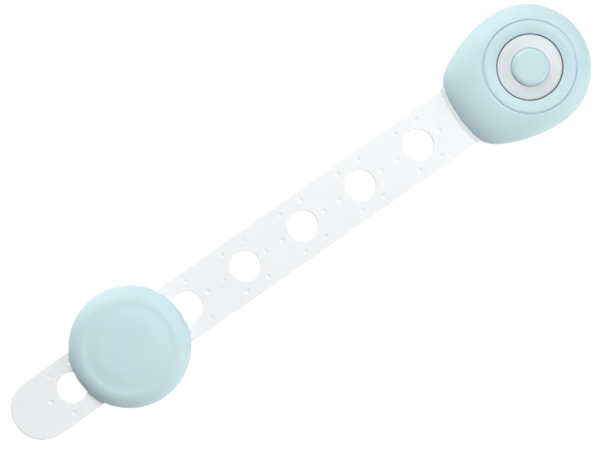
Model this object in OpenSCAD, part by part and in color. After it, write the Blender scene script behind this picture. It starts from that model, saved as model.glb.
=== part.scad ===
// Cabinet safety lock: a two-stage push-button lock head, a holed strap and a round anchor pad.
// X runs along the strap towards the head, Z points away from the surface that the lock is stuck to.
// The origin lies on the back of the head's foam pad, under the button's axis. Millimetres.

/* [Strap] */
// Width of the strap
strap_w = 18; // [16:0.5:20]
// Thickness of the strap
strap_t = 1.6; // [1.4:0.1:2.2]
// Number of holes along the strap
hole_count = 7; // [6:1:9]
// Distance from hole to hole
hole_pitch = 20; // [18:0.5:24]
// Diameter of the strap holes
hole_d = 8.8; // [8:0.1:9.4]
// Distance from the button's axis to the first hole
first_hole = 38; // [36:0.5:46]
// Distance from the last hole to the strap's round tip
tail_reach = 19.2; // [16:0.2:26]
// Number of dimples round each hole
dimple_count = 6; // [4:1:8]
// Diameter of a dimple at the strap's face
dimple_d = 1.5; // [1.2:0.1:2]
// Depth of a dimple
dimple_depth = 0.15; // [0.1:0.05:0.5]
// Diameter of the circle of dimples round a hole
dimple_circle_d = 14.5; // [13:0.1:15.5]
// Length of the stretch that takes the strap's bend
flex_l = 10; // [6:0.5:11]
// Hole that the anchor pad clamps, counted from the head
anchor_hole = 6; // [5:1:6]

/* [Lock head] */
// Wall of the cover
wall_t = 1.8; // [1.4:0.1:2.2]
// Width of the cover's rim outside the groove
rim_w = 4.3; // [3.4:0.1:6]
// Length of the slope from the groove to the mouth
front_slope = 10.4; // [9:0.1:13]
// Radius of the cover's two flanks, seen from above
flank_r = 38; // [36:0.5:60]
// How far each flank stands out beyond the round end
flank_bulge = 0.25; // [0:0.05:0.6]
// Radius of the cover's front edge, seen from above
front_r = 39; // [30:0.5:60]
// Softness of the two front corners
corner_blend = 3.2; // [2.5:0.1:6]
// Height at which the cover's side turns into its crown
shoulder_z = 4.5; // [4:0.1:5.2]
// Angle that the crown's curve turns through on its way from the side to the groove
crown_turn = 80; // [65:1:90]
// Width of the crest between the dish and the groove
crest_w = 0.9; // [0.6:0.1:1.6]
// Fall of the crest from the dish to the crown
crest_fall = 0.3; // [0.1:0.05:0.5]
// Width of the sloped dish round the press ring
dish_w = 2.3; // [1.8:0.1:4]
// Depth of the dish at the ring's hole
dish_depth = 0.45; // [0.3:0.05:2]
// Width of the fine groove round the dish
groove_w = 0.8; // [0.5:0.1:1]
// Depth of the fine groove
groove_depth = 0.5; // [0.2:0.05:0.6]
// Thickness of the lip over the strap
lip_t = 0.6; // [0.4:0.1:1]
// How far the lip slopes out of the mouth
lip_reach = 0.9; // [0.3:0.1:1.5]
// Thickness of the base plate
base_t = 1.6; // [1.4:0.1:2.4]
// Thickness of the foam pads
foam_t = 0.8; // [0.6:0.1:1.2]
// Inset of the foam pads from the outside of the shells
foam_inset = 3.4; // [3:0.1:5]
// Outer diameter of a screw boss
boss_d = 4.4; // [3.8:0.1:5]
// Thickness of the deck that carries the springs
deck_t = 1; // [0.8:0.1:1.6]

/* [Buttons] */
// Diameter of the press ring
ring_d = 18.5; // [17.6:0.1:20]
// Gap between the ring and the cover
ring_gap = 0.25; // [0.2:0.05:0.5]
// Thickness of the ring's top
ring_t = 1.8; // [0.8:0.1:2]
// Angle at which the ring's top falls away from the button
ring_tilt = 12; // [4:1:15]
// Radius of the ring's outer edge
ring_edge = 0.5; // [0.3:0.1:1]
// Travel of the ring
ring_travel = 1.5; // [1:0.1:2]
// Diameter of the centre button
button_d = 10.7; // [10:0.1:11.4]
// Height of the button above the ring
button_proud = 1.6; // [0.6:0.1:2]
// Height of the button above the cover's crest
button_stand = 1.6; // [0:0.1:1.8]
// Radius of the button's top edge
button_edge = 1.4; // [0.6:0.1:1.6]
// Travel of the button in the ring
button_travel = 1.5; // [1:0.1:2]
// Wire of the ring's spring
ring_wire_d = 0.6; // [0.4:0.05:0.7]
// Wire of the button's spring
button_wire_d = 0.5; // [0.3:0.05:0.55]
// Turns of each spring
spring_turns = 3; // [2:0.5:3.5]

/* [Latch] */
// Thickness of the latch finger
finger_t = 0.8; // [0.6:0.1:1.1]
// Width of the latch finger
finger_w = 4.4; // [3.6:0.2:5]
// Height of the hook above the underside of the tongue
hook_h = 1.15; // [0.8:0.05:1.3]
// Length of the hook's ramp
hook_l = 2.6; // [2:0.1:3.2]
// Distance of the hook's catch from the button's axis
hook_back = 2.4; // [1.8:0.1:3.2]
// Width of the rigid tongue
tongue_w = 13.6; // [11:0.2:14]
// Length of the tongue's nose past the hook
nose_l = 3; // [2.4:0.1:3.4]
// Length of the lap where the tongue joins the strap
lap_l = 8; // [7:0.5:10]

/* [Anchor pad] */
// Diameter of the anchor cap
cap_d = 34.8; // [33:0.2:38]
// Height of the anchor pad
cap_h = 10.2; // [8.8:0.1:12]
// Radius of the cap's rolled rim
cap_rim = 4.6; // [3:0.1:5]
// Rise of the cap's domed middle above its rim
cap_dome = 0.55; // [0.2:0.05:0.8]
// Width of the flat ring between the dome and the rim
cap_land = 0.2; // [0:0.1:1]
// Thickness of the cap's roof and skirt
cap_t = 1.6; // [1.2:0.1:2]
// Diameter of the cap's pin
pin_d = 5; // [4:0.1:5.4]
// Wall of the base's socket round the pin
socket_t = 1.6; // [1.2:0.1:1.7]

/* [Hidden] */
$fn = 96;
outer_sides = 72;
outer_steps = 9;
inner_sides = 48;
inner_steps = 4;
crest_steps = 4;
edge_steps = 6;
dome_steps = 10;

teal = [0.76, 0.87, 0.89];
white = [0.93, 0.94, 0.95];
natural = [0.88, 0.89, 0.88];
foam = [0.80, 0.82, 0.83];
steel = [0.72, 0.73, 0.75];

// Clearances: seated flat pieces, pieces that slide past each other, a push fit and a loose gap
seat_gap = 0.05;
slide_gap = 0.15;
pin_gap = 0.06;
loose_gap = 0.3;
over = 1;

// Levels of the stack, from the foam upwards
skirt_lift = 0.2;
finger_gap = 0.25;
skirt_z = foam_t + skirt_lift;
base_top = foam_t + base_t;
finger_z = base_top + finger_gap;
strap_z = finger_z + finger_t + slide_gap;
strap_top = strap_z + strap_t;
deck_z = strap_top + loose_gap;
deck_top = deck_z + deck_t;
flange_t = 0.7;
ring_z = deck_top + ring_travel + slide_gap;
collar_z = ring_z + flange_t + slide_gap;
button_z = deck_top + ring_travel + button_travel + slide_gap;
ring_plate_z = button_z + flange_t + slide_gap;
ring_top = ring_plate_z + ring_t;
button_top = ring_top + button_proud;
crown_top = button_top - button_stand;
crown_edge_z = crown_top - crest_fall;
mouth_z = strap_z - loose_gap;
mouth_top = strap_top + slide_gap + lip_t;
mouth_w = strap_w + 2 * loose_gap;

// Plan sizes of the head
flange_lap = 0.8;
ring_r = ring_d / 2;
hole_r = ring_r + ring_gap;
ring_flange_r = hole_r + flange_lap;
ring_skirt_t = 1.1;
button_r = button_d / 2;
ring_bore_r = button_r + slide_gap;
button_flange_r = ring_bore_r + flange_lap;
collar_t = 1.8;
post_r = 0.9;
peg_r = 0.6;
post_edge = 1.2;
post_y = tongue_w / 2 + loose_gap + post_r;
deck_r = max(ring_flange_r, post_y + 2 * post_edge);
post_x = sqrt(pow(deck_r - post_edge, 2) - pow(post_y, 2));
dish_r = hole_r + dish_w;
crest_land = 0.1;
crest_r = dish_r + crest_land;
groove_land = 0.1;
groove_r = crest_r + crest_w + groove_w / 2;
crown_r = groove_r + groove_w / 2 + groove_land;
boss_r = boss_d / 2;
boss_angles = [45, 112, -112, -45];
boss_circle_r = max(
    deck_r + loose_gap + slide_gap + boss_r,
    (strap_w / 2 + 2 * loose_gap + boss_r) / sin(boss_angles[1])
);
head_r = max(crown_r + rim_w, boss_circle_r + boss_r + wall_t);
head_front = crown_r + front_slope;
cover_foot = 0.4;
roof_inset = 0.6;

// Screws, rivets and rails
pilot_r = 0.85;
screw_r = pilot_r - seat_gap;
screw_head_r = 1.9;
screw_head_t = 0.9;
screw_l = 4.5;
slot_w = 0.7;
slot_l = 2.4;
slot_depth = 0.54;
rail_t = 1;
rail_l = 9;
rail_inset = 6;
rivet_r = 0.9;
rivet_head_r = 1.7;
rivet_head_t = 0.4;

// Latch and tongue along the strap's axis
root_lap = 0.8;
root_clear = 1.6;
root_x = deck_r - root_lap;
root_end = head_r - wall_t - root_clear;
root_w = 9;
pocket_floor = 0.5;
hook_flat = 0.3;
latch_rivet_y = 2.9;
hook_x = -hook_back;
nose_x = hook_x + slide_gap + nose_l;
window_w = finger_w + 2 * loose_gap;
lap_x = -deck_r - 2 * loose_gap;
lap_rivet_edge = 2;
nose_cut = 2;
foot_t = 1.7;
foot_w = 4;
foot_press = 0.8;
foot_x = button_r - foot_t - slide_gap;
foot_z = strap_z + ring_travel + button_travel - foot_press;

// Springs
ring_spring_r = (button_flange_r + ring_r - ring_skirt_t) / 2;
button_spring_r = foot_x - 2 * slide_gap - button_wire_d / 2 - loose_gap;
button_well_r = foot_x - slide_gap;
button_roof_t = 1.2;
spring_seat = 0.3;
rings_per_turn = 24;
wire_sides = 6;

// Strap along its axis
anchor_x = -first_hole - (anchor_hole - 1) * hole_pitch;
tail_tip = -first_hole - (hole_count - 1) * hole_pitch - tail_reach;
flex_x = -first_hole - 1.5 * hole_pitch;

// Anchor pad
cap_r = cap_d / 2;
cap_crest = cap_h - cap_dome;
cap_roof = cap_crest - cap_t;
pin_r = pin_d / 2;
socket_r = pin_r + pin_gap;
post_outer_r = min(socket_r + socket_t, hole_d / 2 - pin_gap);
clamp_land = 0.6;
clamp_edge = 0.4;
clamp_in_r = hole_d / 2 + clamp_land;
clamp_out_r = dimple_circle_d / 2 + dimple_d / 2 + clamp_edge;
pip_r = 0.45;
pip_deep = 0.05;
anchor_disc_r = cap_r - cap_t - slide_gap;

// Outline of the head, as the distance of its edge from the button's axis in direction a
function circle_edge(a, c, r) =
    let (b = c[0] * cos(a) + c[1] * sin(a)) b + sqrt(b * b + r * r - c * c);
function soft_min(p, q, k) =
    let (h = max(k - abs(p - q), 0) / k) min(p, q) - h * h * k / 4;
function head_edge(a) =
    cos(a) >= 0 ? head_r + flank_bulge * pow(sin(a), 2) : soft_min(
        circle_edge(a, [0, -sign(sin(a)) * (flank_r - head_r - flank_bulge)], flank_r),
        circle_edge(a, [front_r - head_front, 0], front_r),
        corner_blend
    );
function head_outline(inset, sides) =
    [for (i = [0:sides - 1]) let (a = 360 * i / sides) (head_edge(a) - inset) * [cos(a), sin(a)]];

// One ring of the crown: u runs from 0 at the outline to 1 at the circle of radius top_r
function crown_ring(inset, top_r, u, z, sides) = [
    for (i = [0:sides - 1])
        let (a = 360 * i / sides, edge = head_edge(a) - inset, r = edge + (top_r - edge) * u)
            [r * cos(a), r * sin(a), z]
];
// The crown's curve at angle t: its run inwards and its rise, each from 0 at the side to 1 at the top
function crown_run(t) = (1 - cos(t)) / (1 - cos(crown_turn));
function crown_rise(t) = sin(t) / sin(crown_turn);
// Height of the crown's outer face above the point at distance r in direction a
function crown_height(a, r) =
    let (
        edge = head_edge(a),
        run = min((edge - r) / (edge - crown_r), 1),
        t = acos(1 - run * (1 - cos(crown_turn)))
    )
        shoulder_z + (crown_edge_z - shoulder_z) * crown_rise(t);
// Height of the crest at distance r from the button's axis
function crest_height(r) = crown_top - crest_fall * pow((r - crest_r) / (crown_r - crest_r), 2);

// Solid between stacked rings of equal count
module loft(rings) {
    n = len(rings[0]);
    last = len(rings) - 1;
    sides = [
        for (k = [0:last - 1], i = [0:n - 1])
            let (j = (i + 1) % n, p = k * n, q = p + n)
                each [[p + i, q + j, p + j], [p + i, q + i, q + j]]
    ];
    bottom = [[for (i = [0:n - 1]) i]];
    top = [[for (i = [n - 1:-1:0]) last * n + i]];
    polyhedron([for (ring = rings) each ring], concat(sides, bottom, top), convexity = 6);
}

module crown_loft(bottom_z, inset, foot_inset, top_r, top_z, sides, steps, crest = 0) {
    loft(concat(
        [crown_ring(inset + foot_inset, top_r, 0, bottom_z, sides)],
        [crown_ring(inset, top_r, 0, bottom_z + foot_inset + seat_gap, sides)],
        [
            for (k = [0:steps])
                let (t = crown_turn * k / steps, z = shoulder_z + (top_z - shoulder_z) * crown_rise(t))
                    crown_ring(inset, top_r, crown_run(t), z, sides)
        ],
        [
            for (k = [1:1:crest])
                let (r = crown_r + (crest_r - crown_r) * k / crest)
                    crown_ring(inset, r, 1, crest_height(r), sides)
        ]
    ));
}

module ring_shape(inner_r, outer_r, low, high) {
    translate([inner_r, low]) square([outer_r - inner_r, high - low]);
}

module slab(size_x, size_y, low, high) {
    translate([size_x[0], size_y[0], low])
        cube([size_x[1] - size_x[0], size_y[1] - size_y[0], high - low]);
}

module at_bosses() {
    for (a = boss_angles) rotate(a) translate([boss_circle_r, 0, 0]) children();
}

module both_sides() {
    for (side = [0, 1]) mirror([0, side, 0]) children();
}

// Wire of a spring, as one unbroken tube round a helix
function helix(r, low, high, turns) = [
    for (k = [0:turns * rings_per_turn])
        let (a = 360 * k / rings_per_turn)
            [r * cos(a), r * sin(a), low + (high - low) * k / (turns * rings_per_turn)]
];
function wire_ring(p, a, wire_r) = [
    for (s = [0:wire_sides - 1])
        let (b = 360 * s / wire_sides)
            p + wire_r * [cos(b) * cos(a), cos(b) * sin(a), sin(b)]
];
function self_gap(path, wire_d) = min([
    for (i = [0:len(path) - 1], j = [i + rings_per_turn / 2:1:len(path) - 1]) norm(path[i] - path[j])
]) - wire_d;

module coil(r, low, high, turns, wire_d) {
    path = helix(r, low + wire_d / 2, high - wire_d / 2, turns);
    loft([
        for (k = [0:len(path) - 1]) wire_ring(path[k], 360 * k / rings_per_turn, -wire_d / 2)
    ]);
    echo(least_gap_of_coil = self_gap(path, wire_d));
}

module head_cover() {
    color(teal) difference() {
        union() {
            difference() {
                crown_loft(skirt_z, 0, cover_foot, crown_r, crown_edge_z,
                    outer_sides, outer_steps, crest_steps);
                crown_loft(skirt_z - over, wall_t, 0, crown_r - roof_inset, crown_top - wall_t,
                    inner_sides, inner_steps);
            }
            translate([0, 0, collar_z])
                cylinder(r = hole_r + collar_t, h = crown_top - wall_t / 2 - collar_z);
            for (a = boss_angles) rotate(a) translate([boss_circle_r, 0, base_top])
                cylinder(r = boss_r, h = crown_height(a, boss_circle_r + boss_r) - wall_t / 2 - base_top);
        }
        rotate_extrude() polygon([
            [0, crown_top - 2 * dish_depth], [hole_r - dish_w, crown_top - 2 * dish_depth],
            [dish_r + dish_w, crown_top + dish_depth], [0, crown_top + dish_depth]
        ]);
        cylinder(r = hole_r, h = crown_top + over);
        rotate_extrude() translate([groove_r, crest_height(groove_r) + groove_w / 2 - groove_depth])
            circle(groove_w / 2);
        at_bosses() translate([0, 0, base_top - over])
            cylinder(r = pilot_r, h = screw_l + 2 * over);
        slab([-head_front - over, -head_front + 3 * wall_t], [-mouth_w / 2, mouth_w / 2], mouth_z, mouth_top);
    }
}

module head_base() {
    rail_x = -head_front + rail_inset;
    stop_y = tongue_w / 2 - post_edge;
    color(white) difference() {
        union() {
            translate([0, 0, foam_t]) linear_extrude(base_t)
                polygon(head_outline(wall_t + slide_gap, outer_sides));
            both_sides() slab([rail_x, rail_x + rail_l], [0, rail_t] + [1, 1] * (strap_w / 2 + loose_gap),
                base_top - seat_gap, strap_top);
            both_sides() slab([0, rail_t] + [1, 1] * (nose_x + slide_gap), [window_w / 2 + loose_gap, stop_y],
                base_top - seat_gap, strap_top);
            for (sx = [-1, 1]) both_sides() translate([sx * post_x, post_y, base_top - seat_gap]) {
                cylinder(r = post_r, h = deck_z - base_top + seat_gap);
                cylinder(r = peg_r, h = deck_z + deck_t - slide_gap - base_top + seat_gap);
            }
        }
        slab([hook_x - hook_l - 2 * loose_gap, root_x - loose_gap], [-window_w / 2, window_w / 2],
            foam_t + pocket_floor, base_top + over);
        at_bosses() {
            translate([0, 0, foam_t - over]) cylinder(r = screw_head_r + slide_gap, h = over + screw_head_t);
            cylinder(r = screw_r + slide_gap, h = base_top + over);
        }
        both_sides() translate([(root_x + root_end) / 2, latch_rivet_y, 0]) {
            cylinder(r = rivet_r + seat_gap, h = base_top + over);
            translate([0, 0, foam_t - over]) cylinder(r = rivet_head_r + slide_gap, h = over + rivet_head_t);
        }
    }
}

module head_adhesive() {
    color(foam) linear_extrude(foam_t) polygon(head_outline(foam_inset, outer_sides));
}

module cover_screws() {
    color(steel) at_bosses() difference() {
        union() {
            translate([0, 0, foam_t + seat_gap]) cylinder(r = screw_head_r, h = screw_head_t - seat_gap);
            translate([0, 0, foam_t + screw_head_t - seat_gap])
                cylinder(r = screw_r, h = base_t + screw_l - screw_head_t);
        }
        for (turn = [0, 90]) rotate(turn)
            slab([-slot_l / 2, slot_l / 2], [-slot_w / 2, slot_w / 2], 0, foam_t + slot_depth);
    }
}

module mouth_lip() {
    back_x = -head_front + 2 * wall_t + lip_t;
    rib_w = strap_w * 2 / 3;
    color(white) {
        intersection() {
            slab([-head_front - lip_reach - over, back_x], [-1, 1] * (mouth_w / 2 - slide_gap),
                mouth_top - lip_t, mouth_top);
            translate([front_r - head_front, 0, mouth_top - lip_t])
                cylinder(r1 = front_r + lip_reach, r2 = front_r + slide_gap, h = lip_t);
        }
        slab([back_x - lip_t, back_x], [-rib_w / 2, rib_w / 2], mouth_top - lip_t / 2, mouth_top + lip_t);
    }
}

module press_ring() {
    skirt_r = ring_r - ring_skirt_t;
    turn_r = ring_r - ring_edge * (1 - sin(ring_tilt));
    turn_z = ring_top - (turn_r - ring_bore_r) * tan(ring_tilt) - ring_edge * cos(ring_tilt);
    color(white) rotate_extrude() polygon(concat(
        [
            [ring_bore_r, ring_top], [ring_bore_r, ring_plate_z], [skirt_r, ring_plate_z], [skirt_r, ring_z],
            [ring_flange_r, ring_z], [ring_flange_r, ring_z + flange_t], [ring_r, ring_z + flange_t]
        ],
        [
            for (k = [0:edge_steps])
                let (a = (90 - ring_tilt) * k / edge_steps)
                    [ring_r - ring_edge * (1 - cos(a)), turn_z + ring_edge * sin(a)]
        ]
    ));
}

module centre_button() {
    color(teal) {
        rotate_extrude() difference() {
            union() {
                ring_shape(0, button_r - button_edge, button_z, button_top);
                ring_shape(0, button_r, button_z, button_top - button_edge);
                translate([button_r - button_edge, button_top - button_edge])
                    intersection() { circle(button_edge); square(button_edge); }
                ring_shape(0, button_flange_r, button_z, button_z + flange_t);
            }
            ring_shape(-over, button_well_r, button_z - over, button_top - button_roof_t);
        }
        slab([foot_x, foot_x + foot_t], [-foot_w / 2, foot_w / 2], foot_z, button_z + flange_t / 2);
    }
}

module ring_spring() {
    color(steel) coil(ring_spring_r, deck_top - spring_seat + seat_gap, ring_plate_z - seat_gap,
        spring_turns, ring_wire_d);
}

module button_spring() {
    color(steel) coil(button_spring_r, deck_top - spring_seat + seat_gap,
        button_top - button_roof_t - seat_gap, spring_turns, button_wire_d);
}

module spring_deck() {
    slot_x = [foot_x - loose_gap, foot_x + foot_t + loose_gap];
    color(natural) difference() {
        translate([0, 0, deck_z]) cylinder(r = deck_r, h = deck_t);
        rotate_extrude() for (seat = [[ring_spring_r, ring_wire_d], [button_spring_r, button_wire_d]])
            ring_shape(seat[0] - seat[1] / 2 - slide_gap, seat[0] + seat[1] / 2 + slide_gap,
                deck_top - spring_seat, deck_top + over);
        slab(slot_x, [-1, 1] * (foot_w / 2 + loose_gap), 0, deck_top + over);
        for (sx = [-1, 1]) both_sides() translate([sx * post_x, post_y, 0])
            cylinder(r = peg_r + seat_gap, h = deck_top + over);
    }
}

module latch_finger() {
    tip_x = hook_x - hook_l;
    finger_top = finger_z + finger_t;
    color(natural) difference() {
        union() {
            slab([root_x, root_end], [-root_w / 2, root_w / 2], base_top, finger_top);
            slab([tip_x, root_x + seat_gap], [-finger_w / 2, finger_w / 2], finger_z, finger_top);
            translate([0, finger_w / 2, 0]) rotate([90, 0, 0]) linear_extrude(finger_w) polygon([
                [tip_x, finger_top - seat_gap], [hook_x, finger_top - seat_gap],
                [hook_x, strap_z + hook_h], [hook_x - hook_flat, strap_z + hook_h]
            ]);
        }
        both_sides() translate([(root_x + root_end) / 2, latch_rivet_y, 0])
            cylinder(r = rivet_r + seat_gap, h = finger_top + over);
    }
}

module rivet(r, head_r, head_t, low, high) {
    translate([0, 0, low]) cylinder(r = head_r, h = head_t);
    translate([0, 0, low]) cylinder(r = r, h = high - low);
    translate([0, 0, high - head_t]) cylinder(r = head_r, h = head_t);
}

module latch_rivets() {
    color(steel) both_sides() translate([(root_x + root_end) / 2, latch_rivet_y, 0])
        rivet(rivet_r, rivet_head_r, rivet_head_t, foam_t, finger_z + finger_t + rivet_head_t);
}

// Places of the two rivets in the lap between the tongue and the strap
module at_lap() {
    both_sides() translate([lap_x - lap_l / 2, tongue_w / 2 - lap_rivet_edge, 0]) children();
}

module lap_holes() {
    at_lap() {
        cylinder(r = rivet_r + seat_gap, h = strap_top + over);
        translate([0, 0, strap_z - over]) cylinder(r = rivet_head_r + seat_gap, h = over + rivet_head_t);
        translate([0, 0, strap_top - rivet_head_t]) cylinder(r = rivet_head_r + seat_gap, h = over);
    }
}

module strap_tongue() {
    ramp = strap_t / 2;
    middle = strap_z + strap_t / 2;
    color(natural) difference() {
        union() {
            translate([0, 0, strap_z]) linear_extrude(strap_t) polygon([
                [lap_x + seat_gap, -tongue_w / 2], [nose_x - nose_cut, -tongue_w / 2],
                [nose_x, nose_cut - tongue_w / 2], [nose_x, tongue_w / 2 - nose_cut],
                [nose_x - nose_cut, tongue_w / 2], [lap_x + seat_gap, tongue_w / 2]
            ]);
            slab([lap_x - lap_l, lap_x + 2 * seat_gap], [-tongue_w / 2, tongue_w / 2],
                middle + seat_gap, strap_top);
        }
        slab([hook_x - hook_l - 2 * loose_gap, hook_x + slide_gap], [-window_w / 2, window_w / 2],
            strap_z - over, strap_top + over);
        // Ramp under the nose that pushes the hook down on the way in
        translate([nose_x, tongue_w / 2 + over, strap_z]) rotate([90, 0, 0])
            linear_extrude(tongue_w + 2 * over)
                polygon([[-ramp, -over], [-ramp, 0], [0, ramp], [over, ramp], [over, -over]]);
        lap_holes();
    }
}

module tongue_rivets() {
    color(steel) at_lap()
        rivet(rivet_r, rivet_head_r, rivet_head_t - seat_gap, strap_z + seat_gap, strap_top - seat_gap);
}

// The whole strap: one band with a round tail, a stepped lap at the head end, holes and dimples
module strap() {
    half_w = strap_w / 2;
    dimple_r = (pow(dimple_d / 2, 2) + pow(dimple_depth, 2)) / (2 * dimple_depth);
    difference() {
        translate([0, 0, strap_z]) linear_extrude(strap_t) {
            translate([tail_tip + half_w, 0]) circle(half_w);
            translate([tail_tip + half_w, -half_w]) square([lap_x - tail_tip - half_w, strap_w]);
        }
        slab([lap_x - lap_l - seat_gap, lap_x + over], [-1, 1] * (tongue_w / 2 + slide_gap),
            strap_z + strap_t / 2, strap_top + over);
        lap_holes();
        for (i = [0:hole_count - 1]) translate([-first_hole - i * hole_pitch, 0, strap_z]) {
            translate([0, 0, -over]) cylinder(d = hole_d, h = strap_t + 2 * over);
            for (k = [0:dimple_count - 1]) rotate(360 * k / dimple_count)
                translate([dimple_circle_d / 2, 0, strap_t + dimple_r - dimple_depth])
                    sphere(dimple_r, $fn = 32);
        }
    }
}

// The stretch of the strap between two places along its axis
module strap_stretch(from_x, to_x) {
    color(white, 0.9) intersection() {
        strap();
        slab([from_x, to_x], [-strap_w, strap_w], strap_z - over, strap_top + over);
    }
}

module strap_head_end() { strap_stretch(flex_x + flex_l / 2, 0); }

module strap_flex() { strap_stretch(flex_x - flex_l / 2, flex_x + flex_l / 2); }

module strap_tail() { strap_stretch(tail_tip - over, flex_x - flex_l / 2); }

module anchor_cap() {
    land_r = cap_r - cap_rim;
    dome_r = land_r - cap_land;
    color(teal) translate([anchor_x, 0, 0]) {
        difference() {
            rotate_extrude() {
                difference() {
                    union() {
                        ring_shape(0, cap_r, skirt_z, cap_crest - cap_rim);
                        ring_shape(0, land_r, skirt_z, cap_crest);
                        translate([land_r, cap_crest - cap_rim])
                            intersection() { circle(cap_rim); square(cap_rim); }
                        polygon(concat(
                            [[dome_r, cap_crest - cap_dome], [0, cap_crest - cap_dome]],
                            [
                                for (k = [0:dome_steps])
                                    let (s = k / dome_steps)
                                        [dome_r * s, cap_h - cap_dome * (1 - cos(180 * pow(s, 3))) / 2]
                            ]
                        ));
                    }
                    ring_shape(-over, cap_r - cap_t, skirt_z - over, cap_roof - cap_t);
                    ring_shape(-over, cap_r - cap_t - cap_rim / 2, skirt_z - over, cap_roof);
                }
                ring_shape(clamp_in_r, clamp_out_r, strap_top + slide_gap, cap_roof + seat_gap);
                ring_shape(0, pin_r, base_top, cap_roof + seat_gap);
            }
            slab([-cap_r - over, -clamp_out_r - over], [-mouth_w / 2, mouth_w / 2], 0, strap_top + slide_gap);
            slab([clamp_out_r + over, cap_r + over], [-mouth_w / 2, mouth_w / 2], 0, strap_top + slide_gap);
        }
        // Pips that sit in the dimples and stop the pad from turning
        for (k = [0:dimple_count - 1]) rotate(360 * k / dimple_count)
            translate([dimple_circle_d / 2, 0, strap_top - pip_deep])
                cylinder(r = pip_r, h = slide_gap + pip_deep + seat_gap);
    }
}

module anchor_base() {
    rib_l = strap_w * 2 / 3;
    color(white) translate([anchor_x, 0, 0]) difference() {
        union() {
            translate([0, 0, foam_t]) cylinder(r = anchor_disc_r, h = strap_z - foam_t - seat_gap);
            translate([0, 0, foam_t]) cylinder(r = post_outer_r, h = cap_roof - loose_gap - foam_t);
            both_sides() slab([-rib_l / 2, rib_l / 2], [0, rail_t] + [1, 1] * (strap_w / 2 + loose_gap),
                foam_t, strap_top - slide_gap);
        }
        translate([0, 0, base_top - loose_gap]) cylinder(r = socket_r, h = cap_h);
    }
}

module anchor_adhesive() {
    color(foam) translate([anchor_x, 0, 0]) cylinder(r = cap_r - foam_inset, h = foam_t);
}

head_cover();
head_base();
head_adhesive();
cover_screws();
mouth_lip();
press_ring();
centre_button();
ring_spring();
button_spring();
spring_deck();
latch_finger();
latch_rivets();
strap_tongue();
tongue_rivets();
strap_head_end();
strap_flex();
strap_tail();
anchor_cap();
anchor_base();
anchor_adhesive();
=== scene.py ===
import math

import bmesh
import bpy
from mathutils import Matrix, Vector


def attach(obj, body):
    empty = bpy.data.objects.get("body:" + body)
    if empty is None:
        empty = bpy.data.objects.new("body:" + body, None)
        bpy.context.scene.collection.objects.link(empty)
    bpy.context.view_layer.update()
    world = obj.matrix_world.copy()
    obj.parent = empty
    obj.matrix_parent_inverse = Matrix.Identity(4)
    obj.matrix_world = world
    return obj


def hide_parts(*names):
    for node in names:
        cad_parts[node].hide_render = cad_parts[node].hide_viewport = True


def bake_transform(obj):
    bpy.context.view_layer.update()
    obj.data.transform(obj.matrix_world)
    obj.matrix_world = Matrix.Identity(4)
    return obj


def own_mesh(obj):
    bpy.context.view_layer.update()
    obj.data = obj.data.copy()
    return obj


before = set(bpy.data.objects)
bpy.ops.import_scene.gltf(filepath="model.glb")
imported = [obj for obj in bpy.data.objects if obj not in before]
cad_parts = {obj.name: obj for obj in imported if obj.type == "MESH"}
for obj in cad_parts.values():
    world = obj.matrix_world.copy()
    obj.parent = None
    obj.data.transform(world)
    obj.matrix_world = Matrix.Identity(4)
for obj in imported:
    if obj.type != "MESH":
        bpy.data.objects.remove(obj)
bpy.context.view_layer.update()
mm = 0.001
fullTurn = 2 * math.pi
weldGap = 1e-6  # metres
near = 0.01  # millimetres within which two places count as one
over = 1.0  # millimetres by which a cutter passes a face
edgeSegments = {"rolled": 3, "broken": 2}
cornerSteps = 4
faceWeight = 80
crease = {"moulded": 32, "copied": 35, "soft": 40}  # degrees at which an edge stays sharp


# small helpers, shared by the pieces
def clearSelection():
    if bpy.context.object and bpy.context.object.mode != "OBJECT":
        bpy.ops.object.mode_set(mode="OBJECT")
    bpy.ops.object.select_all(action="DESELECT")


def pick(*pieces):
    clearSelection()
    for piece in pieces:
        piece.select_set(True)
    bpy.context.view_layer.objects.active = pieces[0]


def editAll(piece):
    pick(piece)
    bpy.ops.object.mode_set(mode="EDIT")
    bpy.ops.mesh.select_mode(type="VERT")
    bpy.ops.mesh.select_all(action="SELECT")


def doneEditing():
    bpy.ops.object.mode_set(mode="OBJECT")
    return bpy.context.object


def nameNew(name):
    piece = bpy.context.object
    piece.name = piece.data.name = name
    return piece


def weld(piece):
    editAll(piece)
    bpy.ops.mesh.remove_doubles(threshold=weldGap)
    bpy.ops.mesh.normals_make_consistent(inside=False)
    return doneEditing()


def shift(piece, x=0, y=0, z=0):
    editAll(piece)
    bpy.ops.transform.translate(value=(x * mm, y * mm, z * mm))
    return doneEditing()


def selectEdges(piece, wanted):
    # edges chosen by their two ends, in millimetres
    pick(piece)
    bpy.ops.object.mode_set(mode="EDIT")
    bpy.ops.mesh.select_mode(type="EDGE")
    bpy.ops.mesh.select_all(action="DESELECT")
    mesh = bmesh.from_edit_mesh(piece.data)
    for edge in mesh.edges:
        a, b = (v.co / mm for v in edge.verts)
        edge.select_set(bool(wanted(a, b)))
    bmesh.update_edit_mesh(piece.data)


def selectOpenEdges():
    bpy.ops.mesh.select_mode(type="EDGE")
    bpy.ops.mesh.select_all(action="DESELECT")
    bpy.ops.mesh.select_non_manifold()


def roundSelected(width, segments):
    bpy.ops.mesh.bevel(offset=width * mm, segments=segments, affect="EDGES")
    doneEditing()


def applyModifier(piece, kind, **values):
    pick(piece)
    modifier = piece.modifiers.new(kind.lower(), kind)
    for key, value in values.items():
        setattr(modifier, key, value)
    bpy.ops.object.modifier_apply(modifier=modifier.name)


def cutWith(piece, cutter, operation="DIFFERENCE"):
    applyModifier(piece, "BOOLEAN", operation=operation, solver="EXACT", object=cutter)
    bpy.data.objects.remove(cutter)


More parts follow.
